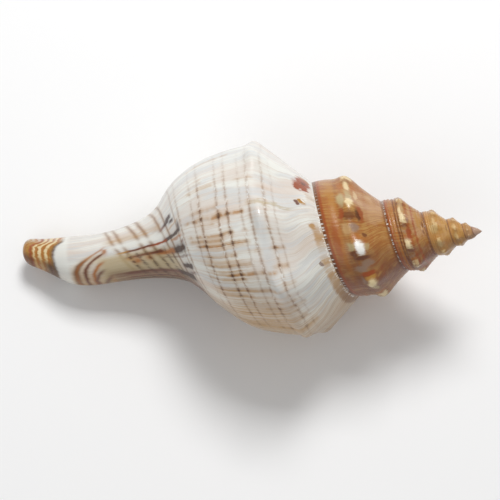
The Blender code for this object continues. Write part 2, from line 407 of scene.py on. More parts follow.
spread = np.random.default_rng(12)
for angle in np.arange(-199.0, -352.0, -6.3):
    first = spread.uniform(18.0, 38.0)
    growth_bands.append((
        angle + spread.uniform(-2.0, 2.0), spread.uniform(1.0, 2.2), first,
        min(first + spread.uniform(8.0, 24.0), BAND_LIMIT), spread.uniform(0.35, 0.85)))
for angle in (-9.0, -21.0, -33.0, -44.0, -57.0):
    growth_bands.append((angle, 1.5, spread.uniform(24.0, 36.0), spread.uniform(46.0, 55.0), 0.4))
# Thin brown spiral lines: height, half width and strength. They are darkest across the bands.
spiral_lines = (
    (19.2, 0.40, 0.35), (22.4, 0.44, 0.85), (28.1, 0.44, 0.85), (31.2, 0.42, 0.45), (36.4, 0.46, 0.95),
    (39.8, 0.46, 0.95), (46.6, 0.50, 1.0), (50.0, 0.44, 0.55), (57.1, 0.48, 0.9), (60.2, 0.42, 0.6),
    (67.1, 0.50, 1.0), (70.3, 0.48, 0.95), (75.2, 0.50, 1.0), (77.9, 0.48, 0.95), (82.3, 0.46, 0.8),
    (84.4, 0.46, 0.8),
)


def new_skin(name):
    """A new material and its node tree."""
    made = bpy.data.materials.new(name)
    made.use_nodes = True
    return made, made.node_tree


def ground(skin):
    """Coordinates on the outside and the streaky noises along its growth lines."""
    degrees, along, place = coordinates(skin, "flat")
    grown, height, level = coordinates(skin, "leaning")
    streaks = noise(skin, "leaning", (0.85, 0.03, 0.0), 1.0, 4.0)
    fine = noise(skin, "leaning", (2.6, 0.05, 0.0), 2.0)
    patchy = noise(skin, "leaning", (0.16, 0.16, 0.0), 20.0, 4.0)
    slanting = noise(skin, "leaning", (0.5, 0.25, 0.0), 12.0, 3.0)
    return degrees, along, place, grown, level, streaks, fine, patchy, slanting


def glaze(skin, lowest, highest):
    """Glaze of the last whorl between two heights, with its growth bands and spiral lines."""
    degrees, along, place, grown, level, streaks, fine, patchy, slanting = ground(skin)
    clouds = noise(skin, "leaning", (0.055, 0.035, 0.0), 3.0, 3.0)
    sheen = noise(skin, "leaning", (0.16, 0.05, 0.0), 9.0, 3.0)
    broken = noise(skin, "leaning", (0.34, 0.0, 0.9), 11.0).smooth(0.36, 0.50)
    uneven = noise(skin, "flat", (0.09, 0.34, 0.0), 8.0, 3.0).smooth(0.32, 0.60)
    colour = clouds.cover(WHITE, ROSE, 0.42, 0.68)
    colour = colour.cover_with(PEARL, sheen.smooth(0.46, 0.62) * 0.75)
    # Pearl grey along the shoulder ridge, 26 mm down, is a painted reflection where the ridge shines.
    colour = colour.cover_with(PEARL, along.hump(26.0, 2.6) * (-degrees).smooth(90.0, 120.0) * 0.7)
    colour = colour.cover_with(ROSE, streaks.smooth(0.48, 0.64) * 0.55)
    colour = colour.cover_with(TAN, fine.smooth(0.52, 0.74) * streaks.smooth(0.42, 0.6) * 0.32)
    colour = colour.cover_with(OLIVE, along.smooth(2.0, 22.0, 1.0, 0.0) * fine.smooth(0.46, 0.66) * (
        -degrees).smooth(80.0, 150.0) * 0.45)
    warm = along.hump(43.5, 8.5) * (-degrees).smooth(108.0, 142.0) * streaks.smooth(0.36, 0.60)
    colour = colour.cover_with(TAN, warm * 0.55)
    # Tan and chestnut over the lower side of the last whorl: partly its own tan colour, partly painted shade
    # on the side that faces away from the light.
    lower_side_tan_and_shade = (-degrees).smooth(136.0, 200.0) * along.smooth(14.0, 32.0)
    lower_side_tan_and_shade = lower_side_tan_and_shade.maximum((-degrees).smooth(165.0, 205.0) * 0.8)
    colour = colour.cover_with(TAN, lower_side_tan_and_shade * (streaks.smooth(0.30, 0.60) * 0.5 + 0.45))
    colour = colour.cover_with(CHESTNUT, lower_side_tan_and_shade * fine.smooth(0.48, 0.72) * 0.28)

    bands = along * 0.0
    for angle, width, first, last, strength in growth_bands:
        if last < lowest - 1.7 or first > highest + 1.0:
            continue
        window = along.smooth(first - 0.8, first + 0.8) * along.smooth(
            last - 1.8, last + 1.8, strength, 0.0)
        bands = bands.maximum(grown.hump(angle, width) * window)
    bands = bands * (uneven * 0.6 + 0.4) * (fine.smooth(0.3, 0.6) * 0.35 + 0.65)
    colour = colour.cover_with(HONEY, (bands * 1.05).minimum(0.82))
    colour = colour.cover_with(OCHRE, bands.smooth(0.42, 0.85) * 0.6)

    broken = broken * (streaks.smooth(0.34, 0.56) * 0.5 + 0.5)
    lines = along * 0.0
    beads = along * 0.0
    for middle, width, strength in spiral_lines:
        if not lowest - 4.0 < middle < highest + 5.0:
            continue
        lines = lines.maximum(level.hump(middle, width) * strength)
        beads = beads.maximum(level.hump(middle, width * 1.7) * strength)
    onset = (-degrees).smooth(62.0, 108.0) * 0.7 + along.smooth(56.0, 66.0) * 0.7 + 0.22
    blurred = (-degrees).smooth(158.0, 196.0, 1.0, 0.45)
    shown = broken.maximum(along.smooth(55.0, 60.0)) * onset.minimum(1.0) * blurred
    colour = colour.cover_with(TAN, beads * shown * 0.45)
    colour = colour.cover_with(CHESTNUT, lines * shown * (bands.smooth(0.04, 0.4) * 0.35 + 0.55))
    colour = colour.cover_with(BROWN, beads * bands.smooth(0.22, 0.62) * onset.minimum(1.0) * 0.85)
    return colour, broken


def young_shell(degrees, along, streaks, fine, patchy, faded):
    """Honey ground of the spire with its growth lines, and a darker side that is painted shade."""
    spire = (streaks * 0.6 + patchy * 0.4).cover(dye(184, 140, 78), dye(164, 104, 46), 0.38, 0.60)
    spire = spire.cover_with(dye(196, 156, 116), faded * along.smooth(22.0, 12.0) * 0.6)
    spire = spire.cover_with(CHESTNUT, fine.smooth(0.50, 0.72) * 0.38)
    # Painted shade: a dark purple-brown band at the same angle on every whorl, on the side away from the
    # light.
    painted_side_shade = degrees.math("FRACT", (-degrees - 60.0) / 360.0).hump(0.35, 0.10)
    spire = spire.cover_with(dye(112, 58, 38), painted_side_shade * (patchy.smooth(0.28, 0.52) * 0.35 + 0.45))
    return spire


def finish_skin(skin, colour, relief):
    """Polish of the outside, with its colour and a very low relief."""
    surface = skin.nodes["Principled BSDF"]
    skin.links.new(colour.socket, surface.inputs["Base Color"])
    surface.inputs["Roughness"].default_value = 0.28
    surface.inputs["Specular IOR Level"].default_value = 0.4
    surface.inputs["Coat Weight"].default_value = 0.25
    surface.inputs["Coat Roughness"].default_value = 0.08
    bump = colour.node("ShaderNodeBump", {"Strength": 0.6, "Distance": 0.00025, "Height": relief})
    skin.links.new(bump.outputs[0], surface.inputs["Normal"])


# The last whorl above its widest line.
outside, skin = new_skin("shell_outside")
colour = glaze(skin, 0.0, WIDEST_EDGE)[0]
degrees, along, place, grown, level, streaks, fine, patchy, slanting = ground(skin)
chalk = noise(skin, "flat", (0.8, 0.6, 0.0), 13.0).smooth(0.52, 0.60)
faded = noise(skin, "flat", (0.03, 0.06, 0.0), 19.0).smooth(0.48, 0.62)
# Ramp under the suture: a stained edge with blots of chestnut and honey.
ragged_turn = degrees + (slanting - 0.5) * 9.0
ragged_along = along + (streaks - 0.5) * 3.0
stain = (along + (slanting - 0.5) * 2.4).smooth(4.0, 5.8, 1.0, 0.0)
stained = ragged_turn.hump(-123.0, 10.0).maximum(ragged_turn.hump(-146.0, 5.0)).maximum(
    (-ragged_turn).smooth(147.0, 160.0)).maximum(ragged_turn.hump(-84.0, 3.5) * 0.5)
colour = colour.cover_with(HONEY, stain * stained * (patchy.smooth(0.30, 0.55) * 0.3 + 0.45))
colour = colour.cover_with(CHESTNUT, stain * (-ragged_turn).smooth(158.0, 205.0) * 0.55)
suture_blots = (
    (-62.0, 4.0, 5.0, 2.4, OCHRE, 1.5), (-68.0, 5.0, 6.0, 3.2, RUST, 1.8),
    (-74.5, 6.4, 4.4, 3.2, RUST, 1.7), (-78.5, 8.4, 2.4, 1.6, RUST, 1.3),
    (-69.0, 4.8, 3.6, 1.3, CHESTNUT, 1.0),
    # The small milk blot at -91.5 degrees, inside the honey blot, is a painted highlight.
    (-92.5, 7.2, 2.8, 1.8, HONEY, 1.1), (-95.5, 9.2, 2.0, 1.1, CHESTNUT, 0.9),
    (-91.5, 6.4, 1.0, 0.9, MILK, 1.0), (-113.5, 4.6, 3.0, 1.8, HONEY, 0.8),
    (-146.5, 5.6, 1.6, 0.9, CHESTNUT, 0.7), (-103.0, 20.0, 2.0, 8.0, OLIVE, 0.5),
)
ragged_height = along + (slanting - 0.5) * 3.0
for angle, middle, width, height, tone, strength in suture_blots:
    colour = blot(colour, tone, ragged_turn, ragged_height, angle, width, middle, height, strength)
colour = colour.cover_with(MILK, along.hump(0.6, 0.7) * chalk * 0.85)
old = (-degrees).smooth(222.0, 318.0)
colour = colour.cover_with(young_shell(degrees, along, streaks, fine, patchy, faded), old)
finish_skin(skin, colour, streaks * 0.6 + fine * 0.3)


def neck_glaze(colour, degrees, along, streaks, patchy):
    """Olive, honey and chestnut grounds of the neck and canal, with one clear white streak; the chestnut on
    the lower side is partly painted shade.
    """
    neck_under = (-degrees).smooth(116.0, 134.0) * along.smooth(64.0, 69.0) * along.smooth(
        86.0, 91.0, 1.0, 0.0)
    colour = colour.cover_with(OLIVE, neck_under * 0.8)
    colour = colour.cover_with(HONEY, (-degrees).hump(93.0, 8.0) * along.smooth(67.0, 71.0) * along.smooth(
        83.0, 87.0, 1.0, 0.0) * patchy.smooth(0.30, 0.50) * 0.45)
    # Chestnut over the lower side of the neck: partly its own brown, partly painted shade on the side away
    # from the light.
    brown_and_painted_shade = (-degrees).smooth(155.0, 176.0) * along.smooth(57.0, 63.0) * along.smooth(84.0, 88.0, 1.0, 0.0)
    colour = colour.cover_with(CHESTNUT, brown_and_painted_shade * (streaks.smooth(0.32, 0.58) * 0.5 + 0.3))
    clear = degrees.hump(-107.0, 5.5) * along.smooth(66.0, 71.0) * along.smooth(83.0, 86.0, 1.0, 0.0)
    colour = colour.cover_with(WHITE, clear * 0.8)
    return colour, neck_under


# The last whorl from its widest line to its neck.
base_outside, skin = new_skin("shell_base")
colour = glaze(skin, WIDEST_EDGE, NECK_EDGE)[0]
degrees, along, place, grown, level, streaks, fine, patchy, slanting = ground(skin)
faded = noise(skin, "flat", (0.03, 0.06, 0.0), 19.0).smooth(0.48, 0.62)
old = (-degrees).smooth(222.0, 318.0) * place.smooth(4.0, 4.6, 1.0, 0.0)
colour = colour.cover_with(young_shell(degrees, along, streaks, fine, patchy, faded), old)
colour = neck_glaze(colour, degrees, along, streaks, patchy)[0]
finish_skin(skin, colour, streaks * 0.6 + fine * 0.3)

# The neck: growth streaks in rust and brown.
neck_outside, skin = new_skin("shell_neck")
colour, broken = glaze(skin, NECK_EDGE, CANAL_EDGE)
degrees, along, place, grown, level, streaks, fine, patchy, slanting = ground(skin)
blotched = noise(skin, "leaning", (0.22, 0.42, 0.0), 14.0, 3.0)
colour, neck_under = neck_glaze(colour, degrees, along, streaks, patchy)
streak_marks = (
    (-103.0, 4.2, 58.4, 59.6, BROWN, 0.95), (-107.0, 2.0, 58.6, 69.5, BROWN, 1.1),
    (-111.5, 1.2, 58.4, 66.0, OCHRE, 0.6), (-107.2, 1.8, 68.0, 74.0, RUST, 1.0),
    (-106.2, 1.8, 73.0, 80.5, CHESTNUT, 0.9), (-105.5, 1.6, 80.0, 82.5, HONEY, 0.8),
    (-122.8, 3.6, 58.5, 67.0, BROWN, 1.0), (-122.6, 3.6, 66.0, 73.0, OCHRE, 0.9),
    (-119.5, 2.8, 70.8, 75.4, CHESTNUT, 0.95), (-118.4, 2.8, 75.0, 80.8, CHESTNUT, 0.7),
    (-117.2, 1.6, 58.4, 60.0, CHESTNUT, 0.7), (-130.5, 1.2, 58.4, 72.0, CHESTNUT, 0.45),
    (-141.0, 2.8, 58.4, 64.5, BROWN, 0.95), (-86.3, 2.4, 62.2, 66.0, BROWN, 0.95),
    (-89.0, 2.0, 64.0, 67.8, BROWN, 0.95), (-92.6, 1.8, 61.2, 63.8, BROWN, 0.95),
    (-90.5, 2.0, 67.2, 69.8, PLUM, 0.7), (-98.0, 0.9, 58.4, 66.0, HONEY, 0.4),
    (-154.0, 5.0, 61.0, 69.5, BROWN, 1.0), (-156.5, 3.8, 68.5, 82.6, CHESTNUT, 0.9),
    (-126.0, 6.0, 74.6, 76.0, OCHRE, 0.7), (-128.0, 7.5, 77.6, 79.4, OCHRE, 0.8),
    (-122.0, 4.5, 79.4, 80.8, HONEY, 0.8), (-148.0, 1.6, 58.4, 62.0, CHESTNUT, 0.6),
    (-171.0, 2.6, 60.0, 82.6, CHESTNUT, 0.8), (-183.0, 3.4, 60.0, 82.6, BROWN, 0.7),
    (-196.0, 2.2, 60.0, 82.6, HONEY, 0.7), (-207.0, 2.6, 60.0, 82.6, RUST, 0.8),
    (-221.0, 3.0, 60.0, 82.6, CHESTNUT, 0.8), (-236.0, 2.5, 60.0, 82.6, HONEY, 0.7),
    (-250.0, 3.5, 60.0, 82.6, CHESTNUT, 0.8), (-268.0, 3.0, 60.0, 82.6, RUST, 0.7),
)
torn = grown + (blotched - 0.5) * 4.0
for angle, width, first, last, tone, strength in streak_marks:
    colour = streak(colour, tone, torn, along, angle, width, first, last, strength)
dots = along * 0.0
for middle in (67.1, 70.3, 72.6, 75.2, 77.9, 80.3, 82.5):
    dots = dots.maximum(level.hump(middle, 0.5))
dotted = neck_under * along.smooth(82.8, 84.2, 1.0, 0.0) * broken * (
    blotched.smooth(0.38, 0.54) * 0.6 + 0.3)
colour = colour.cover_with(BROWN, dots * dotted * 0.8)
finish_skin(skin, colour, streaks * 0.6 + fine * 0.3)

# The canal: growth streaks hook round its end as arcs.
canal_outside, skin = new_skin("shell_canal")
colour = glaze(skin, CANAL_EDGE, TIP_EDGE)[0]
degrees, along, place, grown, level, streaks, fine, patchy, slanting = ground(skin)
blotched = noise(skin, "leaning", (0.22, 0.42, 0.0), 14.0, 3.0)
wobble = (noise(skin, "flat", (0.08, 0.2, 0.0), 18.0) - 0.5) * 1.0
waver = (noise(skin, "flat", (0.05, 0.10, 0.0), 15.0) - 0.5) * 2.0
bumpy = noise(skin, "flat", (0.075, 0.5, 0.0), 16.0, 3.0)
colour = neck_glaze(colour, degrees, along, streaks, patchy)[0]
canal_arcs = (
    (-137.0, 95.0, 0.275, 1.5, -112.0, TAN, 0.7), (-137.0, 95.0, 0.275, 0.8, -122.0, BROWN, 1.0),
    (-137.0, 95.0, 0.275, 0.6, -96.0, OCHRE, 0.7), (-138.0, 92.5, 0.275, 1.3, -104.0, TAN, 0.6),
    (-138.0, 92.5, 0.275, 0.65, -108.0, CHESTNUT, 0.95), (-146.0, 90.2, 0.26, 0.7, -130.0, OCHRE, 0.95),
    (-170.0, 90.0, 0.17, 0.7, -150.0, CHESTNUT, 0.8), (-157.0, 85.6, 0.25, 0.8, -140.0, OCHRE, 0.8),
    (-188.0, 88.2, 0.17, 0.7, -162.0, CHESTNUT, 0.8), (-200.0, 85.6, 0.17, 0.9, -166.0, CHESTNUT, 0.9),
)
for angle, end, reach, width, onset_angle, tone, strength in canal_arcs:
    bent = ((degrees - angle) / 11.0).minimum(20.0)
    hook = bent.math("LOGARITHM", 2.718282 ** bent + 1.0, 2.718282)
    gap = along + wobble - end + hook * (11.0 * reach)
    shown = (-degrees).smooth(-onset_angle, -onset_angle + 12.0) * gap.hump(0.0, width)
    colour = colour.cover_with(tone, shown * along.smooth(85.0, 86.8) * strength)
colour = colour.cover_with(OCHRE, degrees.hump(-112.0, 8.0) * along.hump(85.8, 0.7) * blotched.smooth(
    0.38, 0.5) * 0.8)

# Canal's end: a clear white stretch that is a painted highlight, a dark border, then rows of cream and ochre
# bumps.
end_place = along + waver + (-degrees).smooth(66.0, 100.0, 3.4, 0.0) - 0.7
rows = (end_place * (TURN / 2.2)).cos() * 0.5 + 0.5
bumpy = bumpy * 0.7 + rows * 0.3
# Painted highlight: white laid across the end of the canal where it shines.
clear = along.smooth(95.6, 97.4) * end_place.smooth(100.0, 100.8, 1.0, 0.0)
colour = colour.cover_with(WHITE, clear * 0.8)
fading = (-degrees).smooth(58.0, 84.0)
colour = colour.cover_with(HONEY, end_place.smooth(100.4, 101.4) * (fading * 0.6 + 0.4))
colour = colour.cover_with(OCHRE, end_place.smooth(100.6, 102.0) * bumpy.smooth(0.50, 0.36) * 0.8)
colour = colour.cover_with(CREAM, end_place.smooth(101.6, 102.6) * end_place.smooth(
    107.6, 108.8, 1.0, 0.0) * bumpy.smooth(0.44, 0.62) * (-degrees).smooth(118.0, 158.0, 0.95, 0.2))
colour = colour.cover_with(BROWN, end_place.hump(101.0, 0.75) * fading * (bumpy.smooth(
    0.70, 0.40) * 0.4 + 0.5))
colour = colour.cover_with(BROWN, end_place.hump(102.6, 2.2) * (-degrees).smooth(132.0, 156.0) * 0.85)
colour = colour.cover_with(RUST, end_place.hump(109.0, 0.6) * 0.75)
colour = colour.cover_with(OLIVE, end_place.smooth(110.5, 113.0) * (-degrees).smooth(130.0, 110.0) * 0.35)
colour = colour.cover_with(CHESTNUT, end_place.smooth(107.6, 109.6) * (-degrees).smooth(
    112.0, 150.0) * 0.75)
colour = colour.cover_with(CHESTNUT, end_place.smooth(113.4, 115.0) * 0.35)
finish_skin(skin, colour, streaks * 0.6 + fine * 0.3 + bumpy * end_place.smooth(100.0, 103.0) * 3.0)

# The spire: patches of cream, lilac and chestnut on the knobs, and chestnut cords at the sutures.
spire_outside, skin = new_skin("shell_spire")
degrees, along, place, grown, level, streaks, fine, patchy, slanting = ground(skin)
faded = noise(skin, "flat", (0.03, 0.06, 0.0), 19.0).smooth(0.48, 0.62)
flecks = noise(skin, "flat", (0.45, 0.0, 0.0), 17.0).smooth(0.52, 0.58)
lean_back = along.smooth(18.0, 2.0) * 11.0
first_spire = young_shell(degrees, along, streaks, fine, patchy, faded)
spire = first_spire
count = (degrees + 154.0) / -43.0
early = (degrees + 498.0) / -40.5 + 8.0
beat = early.mix(count, (-degrees).below(498.0)) + (slanting - 0.5) * 0.30
beat = beat - beat.rounded()
block = beat.smooth(-0.30, -0.20) * beat.smooth(0.08, 0.18, 1.0, 0.0) * patchy.smooth(0.36, 0.56)
unseen = degrees.smooth(-428.0, -414.0).maximum((-degrees).smooth(552.0, 566.0))
wavy = along + (patchy - 0.5) * 7.0
belt = wavy.smooth(18.0, 20.0) * wavy.smooth(25.0, 28.0, 1.0, 0.0) * unseen
spire = spire.cover_with(LILAC, belt * patchy.smooth(0.56, 0.40) * 0.5)
spire = spire.cover_with(CHESTNUT, belt * beat.hump(0.22, 0.07) * 0.7)
spire = spire.cover_with(OCHRE, belt * beat.hump(-0.34, 0.08) * 0.7)
spire = spire.cover_with(CREAM, belt * block * 0.85)
spire_cords = (
    (12.5, 1.1, RUST, 0.9), (18.2, 1.3, RUST, 0.7), (27.2, 0.8, CHESTNUT, 0.7), (29.6, 0.9, CHESTNUT, 1.0),
    (32.0, 1.2, OCHRE, 0.9), (34.9, 0.8, RUST, 0.8),
)
younger = (-degrees).smooth(560.0, 700.0) * (-degrees).smooth(1080.0, 1180.0, 1.0, 0.45)
for middle, width, tone, strength in spire_cords:
    varied = strength * 0.55 + streaks.smooth(0.36, 0.6) * (strength * 0.45)
    spire = spire.cover_with(tone, (along + (patchy - 0.5) * 2.0).hump(middle, width) * varied * (
        younger * 0.75 + 0.25))
spire_patches = (
    (-470.0, 32.0, 40.0, 2.6, OCHRE, 0.55), (-488.0, 33.5, 18.0, 1.8, RUST, 0.6),
    (-440.0, 31.8, 22.0, 1.6, HONEY, 0.5), (-462.0, 16.6, 9.0, 2.0, RUST, 0.8),
    (-464.0, 18.4, 6.0, 1.4, BROWN, 0.7), (-464.5, 24.0, 4.0, 5.0, CHESTNUT, 0.75),
    (-427.0, 27.0, 7.0, 2.0, OCHRE, 0.8), (-462.0, 28.4, 7.0, 1.4, RUST, 0.8),
    (-425.0, 19.0, 6.0, 1.6, OCHRE, 0.7), (-426.0, 22.6, 6.0, 2.2, CREAM, 0.9),
    (-437.0, 18.0, 8.0, 1.2, CREAM, 0.5), (-441.0, 22.6, 8.5, 2.4, OLIVE, 0.8),
    (-451.5, 22.4, 6.0, 2.9, CREAM, 1.0), (-447.0, 27.4, 9.0, 2.4, OLIVE, 0.95),
    (-475.5, 22.5, 4.4, 3.6, LILAC, 0.9), (-477.0, 27.0, 6.0, 2.4, TAN, 0.7),
    (-485.5, 22.6, 3.6, 4.0, OCHRE, 0.95), (-484.0, 16.6, 2.4, 1.6, CHESTNUT, 0.8),
    (-496.0, 17.2, 3.6, 1.8, OLIVE, 0.7), (-493.5, 21.8, 4.6, 3.4, MILK, 1.0),
    (-499.0, 21.8, 4.6, 3.2, MILK, 1.0), (-494.5, 27.4, 4.2, 2.4, OLIVE, 0.95),
    (-506.5, 22.6, 2.8, 6.0, CHESTNUT, 0.9), (-501.5, 27.0, 3.4, 2.6, CHESTNUT, 0.8),
    (-514.0, 20.0, 4.6, 4.4, LILAC, 0.85), (-518.0, 25.0, 4.6, 4.6, LILAC, 0.95),
    (-525.5, 22.0, 2.8, 6.0, RUST, 0.9), (-530.5, 21.6, 2.6, 4.4, HONEY, 0.95),
    (-537.0, 22.0, 5.4, 3.6, CREAM, 1.0), (-548.0, 21.4, 8.0, 1.6, OLIVE, 0.8),
    (-533.0, 27.0, 4.0, 1.8, LILAC, 0.7),
    (-797.0, 22.8, 20.0, 2.4, TAN, 0.7), (-818.0, 23.2, 9.0, 2.2, CREAM, 1.0),
    (-803.0, 24.6, 8.0, 1.6, CREAM, 0.9), (-822.0, 18.0, 5.0, 1.6, LILAC, 0.7),
    (-860.0, 22.8, 7.0, 2.8, CREAM, 0.95), (-828.0, 2.6, 8.0, 1.6, CHESTNUT, 0.6),
    (-846.0, 3.2, 6.0, 1.6, CHESTNUT, 0.6), (-897.0, 22.0, 6.0, 2.4, TAN, 0.7),
    (-843.0, 19.5, 11.0, 2.8, RUST, 0.9), (-815.0, 7.0, 26.0, 3.0, HONEY, 0.7),
    (-1172.0, 25.0, 9.0, 3.0, CREAM, 0.6), (-1193.0, 27.0, 12.0, 7.0, OLIVE, 0.9),
    (-1234.0, 23.0, 13.0, 5.0, OLIVE, 0.7), (-1192.0, 4.6, 14.0, 1.6, CHESTNUT, 0.8),
    (-1215.0, 30.0, 8.0, 6.0, OCHRE, 0.8), (-1240.0, 8.0, 16.0, 7.0, RUST, 0.6),
    (-1540.0, 25.0, 12.0, 6.0, CREAM, 0.7), (-1580.0, 25.0, 12.0, 6.0, OLIVE, 0.8),
)
patch_turn = degrees + (slanting - 0.5) * 6.0 - lean_back * 0.5
patch_along = along + (patchy - 0.5) * 4.0
for angle, middle, width, height, tone, strength in spire_patches:
    spire = blot(spire, tone, patch_turn, patch_along, angle, width, middle, height, strength)
ledge = (
    (36.8, 0.9, RUST, 0.9), (38.2, 0.8, CHESTNUT, 0.9), (39.6, 0.7, BROWN, 0.95), (0.6, 0.8, CHESTNUT, 0.6),
)
for middle, width, tone, strength in ledge:
    spire = spire.cover_with(tone, (along + (fine - 0.5) * 1.2).hump(middle, width) * strength)
spire = spire.cover_with(MILK, along.hump(38.6, 0.7) * flecks * (-degrees).smooth(420.0, 480.0) * 0.85)
youth = (-degrees).smooth(950.0, 1180.0)
spire = spire.cover_with(dye(204, 158, 84), youth * 0.45)
spire = spire.cover_with(dye(178, 150, 136), (-degrees).smooth(1800.0, 2150.0) * 0.75)
spire = spire.cover_with(CHESTNUT, youth * along.smooth(36.0, 39.0) * 0.75)
spire = first_spire.cover_with(spire, (-degrees).smooth(322.0, 350.0))
finish_skin(skin, spire, streaks * 0.6 + fine * 0.3)

# Inside of the mouth: a cream lip, then orange glaze with fine brown spiral ribs on the wall, and painted
# shade in chestnut deep in the hollow.
inside, lining = new_skin("shell_inside")
depth = read(lining, "depth")
side = read(lining, "side")
degrees, along, place = coordinates(lining, "flat")
cloud = noise(lining, "flat", (0.05, 0.1, 0.0), 21.0)
colour = cloud.cover(dye(222, 176, 126), dye(204, 148, 94), 0.35, 0.65)
ribs = (along * (TURN / 1.9)).cos().smooth(0.45, 0.95) * side.below(1.5)
colour = colour.cover_with(CHESTNUT, ribs * depth.smooth(0.004, 0.05) * 0.8)
colour = colour.cover_with(CREAM, depth.smooth(0.0, 0.03, 1.0, 0.0))
# Painted shade: chestnut laid over the inside deep behind the lip, where the hollow is dark.
colour = colour.cover_with(CHESTNUT, depth.smooth(0.1, 0.8) * 0.5)
surface = lining.nodes["Principled BSDF"]
lining.links.new(colour.socket, surface.inputs["Base Color"])
surface.inputs["Roughness"].default_value = 0.2
surface.inputs["Coat Weight"].default_value = 0.5
surface.inputs["Coat Roughness"].default_value = 0.08


# The coil: grids of rows and columns are laid round the shell's axis, welded along their edges, and
# given the coordinates that the colours read.
tree = bpy.data.node_groups.new("shell_coil", "GeometryNodeTree")
tree.interface.new_socket(name="Geometry", in_out="OUTPUT", socket_type="NodeSocketGeometry")
coil_inputs = {
    "Outline": ("NodeSocketObject", row_object),
    "Whorl ratio": ("NodeSocketFloat", WHORL_RATIO),
    "Turns": ("NodeSocketFloat", TURNS),
    "Lip angle": ("NodeSocketFloat", LIP_ANGLE),
    "Knob height": ("NodeSocketFloat", KNOB_HEIGHT),
    "Crest height": ("NodeSocketFloat", CREST_HEIGHT),
    "Keel height": ("NodeSocketFloat", KEEL_HEIGHT),
    "Flank depth": ("NodeSocketFloat", FLANK_DEPTH),
    "Cord height": ("NodeSocketFloat", CORD_HEIGHT),
    "Hollow of body": ("NodeSocketFloat", HOLLOW_TURN_BODY),
    "Hollow of canal": ("NodeSocketFloat", HOLLOW_TURN_CANAL),
    "Columns per turn": ("NodeSocketInt", COLUMNS_PER_TURN),
    "Outside": ("NodeSocketMaterial", outside),
    "Base": ("NodeSocketMaterial", base_outside),
    "Neck": ("NodeSocketMaterial", neck_outside),
    "Canal": ("NodeSocketMaterial", canal_outside),
    "Spire": ("NodeSocketMaterial", spire_outside),
    "Inside": ("NodeSocketMaterial", inside),
}
for name, (kind, value) in coil_inputs.items():
    tree.interface.new_socket(name=name, in_out="INPUT", socket_type=kind)
group_in = tree.nodes.new("NodeGroupInput")
group_out = tree.nodes.new("NodeGroupOutput")
given = {name: Field(tree, group_in.outputs[name]) for name in coil_inputs}
maker = given["Turns"]
row_source = Field(tree, maker.node(
    "GeometryNodeObjectInfo", {"Object": given["Outline"]}).outputs["Geometry"])
grid_position = Field(tree, tree.nodes.new("GeometryNodeInputPosition").outputs[0])
row_info = Field(tree, maker.node(
    "GeometryNodeInputNamedAttribute", {"Name": "row_data"},
    data_type="FLOAT_VECTOR").outputs["Attribute"])


def parts(vector):
    """The three numbers of a vector."""
    made = maker.node("ShaderNodeSeparateXYZ", {"Vector": vector})
    return [Field(tree, output) for output in made.outputs]


def read_rows(value, row, layer):
    """Read a value of the outline mesh at a row of one of its layers."""
    made = maker.node("GeometryNodeSampleIndex", {
        "Geometry": row_source, "Value": value, "Index": row + float(layer_start[layer]),
    }, data_type="FLOAT_VECTOR", domain="POINT")
    return parts(Field(tree, made.outputs["Value"]))


def knob_wave(angle):
    """Rise and fall of the knobs round the coil."""
    last = KNOB_FIRST + KNOBS_ON_BODY * KNOB_SPACING
    body = (angle - KNOB_FIRST) / KNOB_SPACING
    spire = (angle - last) / KNOB_SPACING_SPIRE + float(KNOBS_ON_BODY)
    count = spire.mix(body, angle.below(last))
    return ((count * TURN).cos() * 0.5 + 0.5) ** 1.5


def shoulder(turn, place):
    """Height of the shoulder's relief: broad knobs, sharper crests, a low keel and the flank."""
    wave = knob_wave(given["Lip angle"] - turn)
    young = (turn + given["Turns"] * TURN).smooth(0.0, math.pi)
    middle = (-turn).smooth(0.6 * TURN, 1.1 * TURN, CREST_PLACE_BODY, CREST_PLACE_SPIRE)
    crest = (wave ** 1.5 * given["Crest height"] + given["Keel height"]) * place.hump(
        middle, CREST_WIDTH)
    flank = given["Flank depth"] * place.hump(2.85, 0.55) * (-turn).smooth(TURN, 1.2 * TURN)
    broad = given["Knob height"] * wave * place.hump(2.0, KNOB_WIDTH)
    return (broad + crest - flank) * place.smooth(0.0, 1.0) * place.smooth(3.0, 4.0, 1.0, 0.0) * young


def drop(turn, place):
    """How far the last whorl's upper edge has slid down, and the faces on both sides of it."""
    upper = turn.smooth(-TURN, -0.62 * TURN) * place.smooth(0.0, 1.8, 1.0, 0.0)
    lower = (turn + TURN).smooth(-TURN, -0.62 * TURN) * turn.smooth(-TURN, 1.2 - TURN, 1.0, 0.0)
    lower = lower * place.smooth(2.6, 4.0) * place.smooth(4.0, 6.0, 1.0, 0.0)
    growth = given["Whorl ratio"] ** (turn / TURN)
    return (upper + lower * given["Whorl ratio"]) * growth


def place_point(distance, radius, lean, angle):
    """Put distance, radius, lean and angle into space."""
    made = maker.node("ShaderNodeCombineXYZ", {
        0: -distance, 1: lean - radius * angle.sin(), 2: radius * angle.cos()})
    return Field(tree, made.outputs[0])


def column_dip(turn, place):
    """Narrowing of the canal's wall beside its open slot."""
    beside = (-turn).smooth(TURN - 1.6, TURN - 0.1)
    return 1.0 - beside * place.smooth(7.0, 9.0) * COLUMN_HOLLOW


